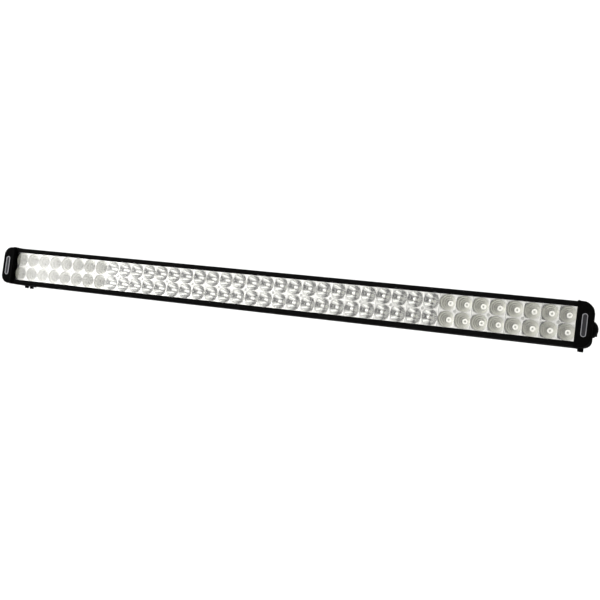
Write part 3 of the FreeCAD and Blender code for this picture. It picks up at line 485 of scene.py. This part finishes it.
NODE_MAT = {
    "housing": "extrusion", "front_lens": "lens", "lens_seals": "rubber", "reflector_screws": "stainless",
    "led_boards": "led_board", "thermal_pads": "silicone", "board_links": "zinc", "driver_board": "green_board",
    "driver_gap_pad": "silicone", "driver_inductors": "ferrite", "driver_capacitors": "can",
    "driver_transistors": "plastic", "driver_terminals": "green_board", "driver_screws": "zinc",
    "driver_spacers": "brass", "lead_red": "red", "lead_black": "black", "power_cable": "rubber",
    "gland_body": "plastic", "gland_oring": "rubber", "gland_nut": "plastic", "gland_seal": "rubber",
    "gland_locknut": "plastic", "plug_shell": "plastic", "plug_boot": "rubber", "plug_contacts": "brass",
    "plug_wedge": "orange", "vent_plug": "plastic", "vent_membrane": "membrane", "vent_oring": "rubber",
    "vent_locknut": "plastic", "left_end_cap": "casting", "right_end_cap": "casting", "left_cap_gasket": "rubber",
    "right_cap_gasket": "rubber", "cap_screws": "steel_black", "cap_badges": "badge", "pivot_inserts": "brass",
    "pivot_bushes": "zinc", "friction_washers": "rubber", "pivot_washers": "steel_black", "pivot_bolts": "steel_black",
    "left_bracket": "steel_black", "right_bracket": "steel_black",
    "led_packages": "ceramic", "led_domes": "dome", "spot_reflectors": "spot", "flood_reflectors": "flood",
}
for n, o in NODES.items():
    mats = o.data.materials
    mats.clear()
    mats.append(M[NODE_MAT[n]])
    o.data.shade_smooth()
    o.data.set_sharp_from_angle(angle=math.radians(28))


# ------------------------------------------------------------------ reflectors
def cell_mesh(bm, sx, sz, inner, base_r, knurl, flat_from):
    """One cup of a module and the plate around it. sx, sz say on which side of the module's middle it sits."""
    N = 96
    cx, cz = sx * PITCH / 2, sz * PITCH / 2
    w2, h2 = MOD / 2 - 0.125, 25.3
    rec_r, pil_r = 2.55, 3.6
    ang = [2 * math.pi * k / N for k in range(N)]
    # turn the pattern so that the module's middle lies at angle 225 degrees for every cell
    a1 = math.radians(180) + math.atan2(PITCH / 2 - rec_r, PITCH / 2)
    a2 = math.radians(270) - math.atan2(PITCH / 2 - rec_r, PITCH / 2)
    px, pz = w2 - PITCH / 2, h2 - PITCH / 2     # cell centre to the module's outer edges
    q = PITCH / 2                               # cell centre to the module's middle lines
    corners = [math.atan2(pz, px), math.atan2(-q, px) % (2 * math.pi), math.atan2(pz, -q) % (2 * math.pi)]
    for target in [a1, a2] + corners:           # these directions get a vertex of their own
        i = min(range(N), key=lambda k: abs(ang[k] - target))
        ang[i] = target
    full, inset, under, kind = [], [], [], []
    for a in ang:
        c, s = math.cos(a), math.sin(a)
        tx = (px / c) if c > 1e-9 else ((-q / c) if c < -1e-9 else 1e9)
        tz = (pz / s) if s > 1e-9 else ((-q / s) if s < -1e-9 else 1e9)
        t = min(tx, tz)
        x, z = c * t, s * t
        in_rec = a1 - 1e-9 <= a <= a2 + 1e-9
        if in_rec:
            # meet the recess circle round the module's middle, at (-q, -q)
            b = c * q + s * q
            disc = b * b - (2 * q * q - rec_r ** 2)
            t = -b - math.sqrt(max(disc, 0.0))
            x, z = c * t, s * t
        ix, iz = x, z
        ch = 0.2
        if not in_rec:
            if x > px - 1e-6:
                ix = px - ch
            if z > pz - 1e-6:
                iz = pz - ch
        ux, uz = x, z
        if in_rec:
            k = pil_r / rec_r
            ux, uz = -q + (x + q) * k, -q + (z + q) * k
        full.append((x, z))
        inset.append((ix, iz))
        under.append((ux, uz))
        kind.append(("rec" if in_rec else ""))

    def V3(x, y, z):
        return bm.verts.new(((cx + sx * x) * MM, y * MM, (cz + sz * z) * MM))

    def circle(r, y):
        return [V3(r * math.cos(a), y, r * math.sin(a)) for a in ang]

    def bridge(r0, r1, mat, skip=None):
        for k in range(N):
            j = (k + 1) % N
            if skip and skip(k, j):
                continue
            try:
                f = bm.faces.new((r0[k], r0[j], r1[j], r1[k]))
                f.material_index = mat
            except ValueError:
                pass

    top = [V3(x, REF_Y0, z) for x, z in inset]
    rings = [(CUP_R + 0.30, REF_Y0), (CUP_R + 0.10, REF_Y0 + 0.06), (CUP_R, REF_Y0 + 0.26)] + inner
    loops = []
    for i, (r, y) in enumerate(rings):
        if i - 3 in knurl:
            loops.append([V3((r + (0.09 if (k // 2) % 2 else -0.09)) * math.cos(a), y,
                             (r + (0.09 if (k // 2) % 2 else -0.09)) * math.sin(a)) for k, a in enumerate(ang)])
        else:
            loops.append(circle(r, y))
    ledge = {i for i in range(len(rings) - 1)
             if i > 2 and abs(rings[i + 1][1] - rings[i][1]) < 0.5 * abs(rings[i + 1][0] - rings[i][0] - 1e-6)}
    bridge(top, loops[0], 1)
    bridge(loops[0], loops[1], 1)
    bridge(loops[1], loops[2], 1)
    for i in range(2, len(loops) - 1):
        # painted light: the top zone of the spot cups gets the lighter lip copy of the film (slot 5)
        lip = flat_from is None and rings[i + 1][1] < REF_Y0 + 1.6
        # painted light: the bottom disc of the flood cups gets the lighter floor copy of the film (slot 4)
        floor_ring = flat_from is not None and i in ledge and rings[i][1] > 23.9
        # painted light: ledges get the lighter ledge copy of the film (slot 3)
        mat = 4 if floor_ring else (3 if (i in ledge and flat_from is not None) else (5 if lip else 0))
        bridge(loops[i], loops[i + 1], mat)
    # back of the base, then the outer shell up to the plate
    back = [(base_r + 0.9, REF_BASE)]
    prof = [(r, y) for r, y in inner if REF_UNDER + 1.2 < y < REF_BASE - 1.0 and r > 3.8]
    for r, y in reversed(prof[::max(1, len(prof) // 8)]):
        back.append((min(r + 1.0, 12.40), y))
    back.append((12.45, REF_UNDER))
    bl = [circle(r, y) for r, y in back]
    bridge(loops[-1], bl[0], 2)
    for i in range(len(bl) - 1):
        bridge(bl[i], bl[i + 1], 2)
    bot = [V3(x, REF_UNDER, z) for x, z in under]
    bridge(bl[-1], bot, 2)

    # outer walls of the module, where the cell's edge is the module's edge
    def outer_seg(k, j):
        xa, za = full[k]
        xb, zb = full[j]
        on_x = xa > px - 1e-6 and xb > px - 1e-6
        on_z = za > pz - 1e-6 and zb > pz - 1e-6
        return on_x or on_z

    wall = [V3(x, REF_Y0 + 0.2, z) for x, z in full]
    for k in range(N):
        j = (k + 1) % N
        if outer_seg(k, j):
            f = bm.faces.new((top[k], top[j], wall[j], wall[k]))
            f.material_index = 1
            f = bm.faces.new((wall[k], wall[j], bot[j], bot[k]))
            f.material_index = 2
    # the quarter of the screw recess and its pillar
    rk = [k for k in range(N) if kind[k] == "rec"]
    alpha = []
    for k in rk:
        x, z = full[k]
        alpha.append(math.atan2(z + q, x + q))

    def arc(r, y):
        return [V3(-q + r * math.cos(a), y, -q + r * math.sin(a)) for a in alpha]

    chain = [[top[k] for k in rk], arc(rec_r, REF_Y0 + 2.3), arc(1.7, REF_Y0 + 2.3), arc(1.7, REF_BASE),
             arc(pil_r, REF_BASE), [bot[k] for k in rk]]
    for i in range(len(chain) - 1):
        for k in range(len(rk) - 1):
            f = bm.faces.new((chain[i][k], chain[i][k + 1], chain[i + 1][k + 1], chain[i + 1][k]))
            f.material_index = 1 if i < 1 else 2
    # drop corner points of the outer wall that no face uses
    for v in wall:
        if not v.link_faces:
            bm.verts.remove(v)


def module_data(kind):
    knurl = []
    if kind == "spot":
        base_r = 3.3
        foc = 1.80
        y_v = REF_Y0 + 0.26 + CUP_R ** 2 / (4 * foc)
        inner = []
        for i in range(1, 41):
            r = CUP_R + (base_r - CUP_R) * (i / 40.0)
            inner.append((r, min(y_v - r * r / (4 * foc), REF_BASE - 0.01)))
        scale = (REF_BASE - (REF_Y0 + 0.26)) / (inner[-1][1] - (REF_Y0 + 0.26))
        inner = [(r, REF_Y0 + 0.26 + (y - REF_Y0 - 0.26) * scale) for r, y in inner]
        flat_from = None
    else:
        # walls from the mouth down, each closed by a ledge that faces forward
        walls = [((CUP_R, REF_Y0 + 0.26), (11.2, 9.2)), ((10.0, 9.3), (8.9, 14.5)), ((7.7, 14.6), (6.6, 19.4)),
                 ((5.4, 19.5), (4.3, 24.15))]
        inner = []
        for i, ((r0, y0), (r1, y1)) in enumerate(walls):
            if i > 0:
                inner.append((r0, y0))
            n = 5
            for k in range(1, n + 1):
                t = k / n
                nx, ny = (y1 - y0), -(r1 - r0)
                ln = math.hypot(nx, ny)
                bulge = math.sin(math.pi * t) * 0.10
                inner.append((r0 + (r1 - r0) * t - nx / ln * bulge, y0 + (y1 - y0) * t - ny / ln * bulge * 0.3))
                if i == 0 and k < n:
                    knurl.append(len(inner) - 1)
        flat_from = len(inner) - 1
        inner += [(3.4, 24.15), (2.4, 24.15), (1.75, 24.15), (1.75, 24.5), (3.3, 24.5), (3.3, REF_BASE)]
        base_r = 3.3
    bm = bmesh.new()
    for sx in (-1, 1):
        for sz in (-1, 1):
            cell_mesh(bm, sx, sz, inner, base_r, knurl, flat_from)
    bmesh.ops.remove_doubles(bm, verts=bm.verts, dist=0.004 * MM)
    bmesh.ops.recalc_face_normals(bm, faces=bm.faces)
    open_edges = sum(1 for e in bm.edges if len(e.link_faces) != 2)
    me = bpy.data.meshes.new("module_" + kind)
    bm.to_mesh(me)
    bm.free()
    print("module", kind, "verts", len(me.vertices), "edges not shared by two faces", open_edges)
    return me


def repeat_mesh(name, src, offsets, mats, angle=24.0):
    """Copies of one mesh at each offset (mm), as one object."""
    nv, nl, nf = len(src.vertices), len(src.loops), len(src.polygons)
    co = np.empty(nv * 3, np.float32)
    src.vertices.foreach_get("co", co)
    co = co.reshape(-1, 3)
    li = np.empty(nl, np.int32)
    src.loops.foreach_get("vertex_index", li)
    ls = np.empty(nf, np.int32)
    src.polygons.foreach_get("loop_start", ls)
    lt = np.empty(nf, np.int32)
    src.polygons.foreach_get("loop_total", lt)
    mi = np.empty(nf, np.int32)
    src.polygons.foreach_get("material_index", mi)
    k = len(offsets)
    me = bpy.data.meshes.new(name)
    me.vertices.add(nv * k)
    me.loops.add(nl * k)
    me.polygons.add(nf * k)
    me.vertices.foreach_set("co", np.concatenate([co + (np.array(o) + np.array(OFS)).astype(np.float32) * MM for o in offsets]).ravel())
    me.loops.foreach_set("vertex_index", np.concatenate([li + nv * i for i in range(k)]))
    me.polygons.foreach_set("loop_start", np.concatenate([ls + nl * i for i in range(k)]))
    me.polygons.foreach_set("loop_total", np.tile(lt, k))
    me.polygons.foreach_set("material_index", np.tile(mi, k))
    me.update(calc_edges=True)
    me.validate()
    for m in mats:
        me.materials.append(m)
    me.shade_smooth()
    me.set_sharp_from_angle(angle=math.radians(angle))
    ob = bpy.data.objects.new(name, me)
    scene.collection.objects.link(ob)
    return ob


def is_flood(k):
    return k < FLOOD_MODS or k >= N_MOD - FLOOD_MODS


spot_me, flood_me = module_data("spot"), module_data("flood")
spot_ob = repeat_mesh("spot_reflector_cups", spot_me, [(x, 0, 0) for k, x in enumerate(MOD_X) if not is_flood(k)],
                      [M["spot"], M["face"], M["plastic"], M["ledge"], M["floor"], M["lip"]], 30.0)
flood_ob = repeat_mesh("flood_reflector_cups", flood_me, [(x, 0, 0) for k, x in enumerate(MOD_X) if is_flood(k)],
                       [M["flood"], M["face"], M["plastic"], M["ledge"], M["floor"], M["lip"]], 22.0)
for ob, node, slot in ((spot_ob, "spot_reflectors", "mirror_spot"), (flood_ob, "flood_reflectors", "mirror_flood")):
    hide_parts(node)
    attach(ob, "bar")


# ------------------------------------------------------------------ LEDs
def turned(prof, n):
    """A closed body of revolution about -Y from (radius, y) points, back to front; flat at both ends."""
    bm = bmesh.new()
    loops = [[bm.verts.new((r * math.cos(2 * math.pi * k / n) * MM, y * MM, r * math.sin(2 * math.pi * k / n) * MM))
              for k in range(n)] for r, y in prof]
    for i in range(len(loops) - 1):
        for k in range(n):
            j = (k + 1) % n
            bm.faces.new((loops[i][k], loops[i][j], loops[i + 1][j], loops[i + 1][k]))
    bm.faces.new(loops[0])
    bm.faces.new(list(reversed(loops[-1])))
    bmesh.ops.recalc_face_normals(bm, faces=bm.faces)
    me = bpy.data.meshes.new("turned")
    bm.to_mesh(me)
    bm.free()
    return me


def add_part(bm, me, mat, dy):
    base = len(bm.verts)
    bm2 = bmesh.new()
    bm2.from_mesh(me)
    for v in bm2.verts:
        v.co.y += dy * MM
    tmp = bpy.data.meshes.new("tmp")
    bm2.to_mesh(tmp)
    bm2.free()
    n0 = len(bm.faces)
    bm.from_mesh(tmp)
    bm.faces.ensure_lookup_table()
    for f in bm.faces[n0:]:
        f.material_index = mat
    return base


def led_package():
    bm = bmesh.new()
    add_part(bm, turned([(2.6, 0), (2.6, -0.5), (2.5, -0.62), (2.05, -0.62), (1.9, -0.5), (1.7, -0.5), (1.6, -0.6)], 40), 0, LED_Y)
    add_part(bm, turned([(0.8, 0), (0.8, -0.06), (0.74, -0.09)], 4), 1, LED_Y - 0.6)
    me = bpy.data.meshes.new("led")
    bm.to_mesh(me)
    bm.free()
    return me


def led_dome():
    """Closed dome: half a ball on a short collar."""
    bm = bmesh.new()
    n, rings = 32, 9
    y0 = LED_Y - 0.63
    R = 1.42
    prof = [(R, y0)]
    for i in range(rings):
        a = math.radians(90.0 * i / rings)
        prof.append((R * math.cos(a), y0 - 0.12 - R * math.sin(a) * 0.88))
    loops = [[bm.verts.new((r * math.cos(2 * math.pi * k / n) * MM, y * MM, r * math.sin(2 * math.pi * k / n) * MM))
              for k in range(n)] for r, y in prof]
    for i in range(len(loops) - 1):
        for k in range(n):
            j = (k + 1) % n
            bm.faces.new((loops[i][k], loops[i][j], loops[i + 1][j], loops[i + 1][k]))
    tip = bm.verts.new((0, (y0 - 0.12 - R * 0.88) * MM, 0))
    for k in range(n):
        bm.faces.new((loops[-1][k], loops[-1][(k + 1) % n], tip))
    bm.faces.new(loops[0])
    bmesh.ops.recalc_face_normals(bm, faces=bm.faces)
    me = bpy.data.meshes.new("dome")
    bm.to_mesh(me)
    bm.free()
    return me


spots_at = [(x, 0, z) for x in LED_X for z in (-PITCH / 2, PITCH / 2)]
pk = repeat_mesh("led_packages_fine", led_package(), spots_at, [M["ceramic"], M["phosphor"]], 40.0)
dm = repeat_mesh("led_domes_fine", led_dome(), spots_at, [M["dome"]], 40.0)
for ob, node, slot in ((pk, "led_packages", "led_ceramic"), (dm, "led_domes", "led_phosphor")):
    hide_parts(node)
    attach(ob, "bar")


# ------------------------------------------------------------------ stage, light, camera
def stage_material():
    m = Mat("studio_floor")
    f = m.noise(3.0, 3.0, 0.5)
    m.principled(Base_Color=m.mix(f, (0.90, 0.90, 0.90), (0.92, 0.92, 0.92)), Roughness=0.7, Specular_IOR_Level=0.1,
                 Normal=m.bump(m.noise(400.0, 2.0, 0.5), 0.05, 0.0005))
    # seen from below, the floor lets the view through
    src = m.out.inputs["Surface"].links[0].from_socket
    geo = m.node("ShaderNodeNewGeometry")
    path = m.node("ShaderNodeLightPath")
    both = m.node("ShaderNodeMath")
    both.operation = "MULTIPLY"
    m.t.links.new(geo.outputs["Backfacing"], both.inputs[0])
    m.t.links.new(path.outputs["Is Camera Ray"], both.inputs[1])
    clr = m.node("ShaderNodeBsdfTransparent")
    mx = m.node("ShaderNodeMixShader")
    m.t.links.new(both.outputs[0], mx.inputs[0])
    m.t.links.new(src, mx.inputs[1])
    m.t.links.new(clr.outputs[0], mx.inputs[2])
    m.t.links.new(mx.outputs[0], m.out.inputs["Surface"])
    return m.m


bm = bmesh.new()
FLOOR_Z = -0.30
prof = [(-6.0, FLOOR_Z), (2.2, FLOOR_Z)]
for i in range(1, 13):
    a = math.radians(90.0 * i / 12)
    prof.append((2.2 + 1.6 * math.sin(a), FLOOR_Z + 1.6 * (1 - math.cos(a))))
prof.append((3.8, 6.0))
rows = [[bm.verts.new((x, y, z)) for x in (-8.0, 8.0)] for y, z in prof]
for a, b in zip(rows[:-1], rows[1:]):
    bm.faces.new((a[0], a[1], b[1], b[0]))
me = bpy.data.meshes.new("studio_sweep")
bm.to_mesh(me)
bm.free()
me.shade_smooth()
me.materials.append(stage_material())
floor = bpy.data.objects.new("studio_sweep", me)
scene.collection.objects.link(floor)
floor.visible_glossy = False

world = bpy.data.worlds.new("studio")
scene.world = world
world.use_nodes = True
wt = world.node_tree
wt.nodes.clear()
wo = wt.nodes.new("ShaderNodeOutputWorld")


def wnode(kind, **kw):
    n = wt.nodes.new(kind)
    for k, v in kw.items():
        setattr(n, k, v)
    return n


def wmath(op, a, b=0.0, clamp=False):
    n = wnode("ShaderNodeMath", operation=op, use_clamp=clamp)
    for i, v in enumerate((a, b)):
        if isinstance(v, bpy.types.NodeSocket):
            wt.links.new(v, n.inputs[i])
        else:
            n.inputs[i].default_value = v
    return n.outputs[0]


def wstep(v, lo, hi):
    n = wnode("ShaderNodeMapRange", interpolation_type="SMOOTHSTEP")
    n.inputs["From Min"].default_value = lo
    n.inputs["From Max"].default_value = hi
    wt.links.new(v, n.inputs["Value"])
    return n.outputs["Result"]


def wbox(az, el, az0, az1, el0, el1, soft):
    """1 inside a softbox given by its bounds in azimuth and elevation (degrees), fading over soft degrees."""
    r = math.radians
    k = wmath("MULTIPLY", wstep(az, r(az0 - soft), r(az0 + soft)), wmath("SUBTRACT", 1.0, wstep(az, r(az1 - soft), r(az1 + soft))))
    k = wmath("MULTIPLY", k, wstep(el, r(el0 - soft), r(el0 + soft)))
    return wmath("MULTIPLY", k, wmath("SUBTRACT", 1.0, wstep(el, r(el1 - soft), r(el1 + soft))))


wtc = wnode("ShaderNodeTexCoord")
wsep = wnode("ShaderNodeSeparateXYZ")
wt.links.new(wtc.outputs["Generated"], wsep.inputs[0])
# azimuth 0 straight out of the window (-Y), positive to the left (-X)
AZ = wmath("ARCTAN2", wmath("MULTIPLY", wsep.outputs["X"], -1.0), wmath("MULTIPLY", wsep.outputs["Y"], -1.0))
EL = wmath("ARCSINE", wsep.outputs["Z"])
key = wmath("MULTIPLY", wbox(AZ, EL, 3.5, 112.0, -32.0, 60.0, 1.5), wmath("ADD", 1.35, wmath("MULTIPLY", wstep(AZ, math.radians(32.0), math.radians(62.0)), 1.5)))
top = wmath("MULTIPLY", wbox(AZ, EL, -50.0, 3.5, 66.0, 95.0, 3.0), 0.6)
fill = wmath("MULTIPLY", wbox(AZ, EL, -80.0, -52.0, -20.0, 45.0, 3.0), 0.6)
# a low strip light straight in front and to the left: it lies across the clear lens as a veil
R_ = math.radians
veil = wmath("ADD", wmath("MULTIPLY", wstep(AZ, R_(12.0), R_(26.0)), 1.4), 0.6)
veil = wmath("ADD", veil, wmath("MULTIPLY", wstep(AZ, R_(32.0), R_(36.0)), 1.5))
veil = wmath("SUBTRACT", veil, wmath("MULTIPLY", wstep(AZ, R_(39.0), R_(40.4)), 2.7))
strip = wmath("MULTIPLY", wbox(AZ, EL, 4.0, 46.0, -1.5, 9.0, 1.0), veil)
# narrow upright strip lights on the right: thin bright lines across the dark part of every cup
for a0, a1 in ((-8.5, -5.5), (-20.5, -17.5), (-35.0, -31.0)):
    strip = wmath("ADD", strip, wmath("MULTIPLY", wbox(AZ, EL, a0, a1, -25.0, 50.0, 0.6), 1.1))
# soft light behind, above and below the level of the bar: it shows the fins and the back of the caps, and misses the window
BACK = wmath("ABSOLUTE", AZ)
rear = wmath("ADD", wmath("MULTIPLY", wbox(BACK, EL, 122.0, 200.0, -80.0, -7.0, 4.0), 2.6),
             wmath("MULTIPLY", wbox(BACK, EL, 122.0, 200.0, 18.0, 75.0, 4.0), 2.6))
pattern = wmath("ADD", wmath("ADD", wmath("ADD", wmath("ADD", key, top), fill), strip), wmath("ADD", rear, 0.02))
lp = wnode("ShaderNodeLightPath")
bg_g = wnode("ShaderNodeBackground")
wt.links.new(pattern, bg_g.inputs["Strength"])
bg_w = wnode("ShaderNodeBackground")
bg_w.inputs["Color"].default_value = (1, 1, 1, 1)
bg_w.inputs["Strength"].default_value = 1.35
mixw = wnode("ShaderNodeMixShader")
wt.links.new(lp.outputs["Is Glossy Ray"], mixw.inputs[0])
wt.links.new(bg_w.outputs[0], mixw.inputs[1])
wt.links.new(bg_g.outputs[0], mixw.inputs[2])
wt.links.new(mixw.outputs[0], wo.inputs["Surface"])


def camera():
    f_px = 916.072
    yaw, pitch, roll = 0.4058891, -0.0466093, 0.1258417
    pos = (0.6609257, -1.3588680 + OFS[1] * MM, -0.0767945 + OFS[2] * MM)
    cy, sy = math.cos(yaw), math.sin(yaw)
    fwd, right, down = Vector((-sy, cy, 0)), Vector((cy, sy, 0)), Vector((0, 0, -1))
    cp, sp = math.cos(pitch), math.sin(pitch)
    f2 = cp * fwd + sp * down
    d2 = cp * down - sp * fwd
    cr, sr = math.cos(roll), math.sin(roll)
    r3 = cr * right - sr * d2
    d3 = sr * right + cr * d2
    cam = bpy.data.cameras.new("camera")
    cam.sensor_width = 36.0
    cam.lens = f_px / 600.0 * 36.0
    cam.clip_start = 0.01
    ob = bpy.data.objects.new("camera", cam)
    x, y, z = r3, -d3, -f2
    ob.matrix_world = Matrix(((x[0], y[0], z[0], pos[0]), (x[1], y[1], z[1], pos[1]), (x[2], y[2], z[2], pos[2]), (0, 0, 0, 1)))
    scene.collection.objects.link(ob)
    scene.camera = ob


camera()
scene.cycles.max_bounces = 16
scene.cycles.glossy_bounces = 10
scene.cycles.transparent_max_bounces = 12
scene.view_settings.view_transform = "Standard"
scene.view_settings.look = "None"
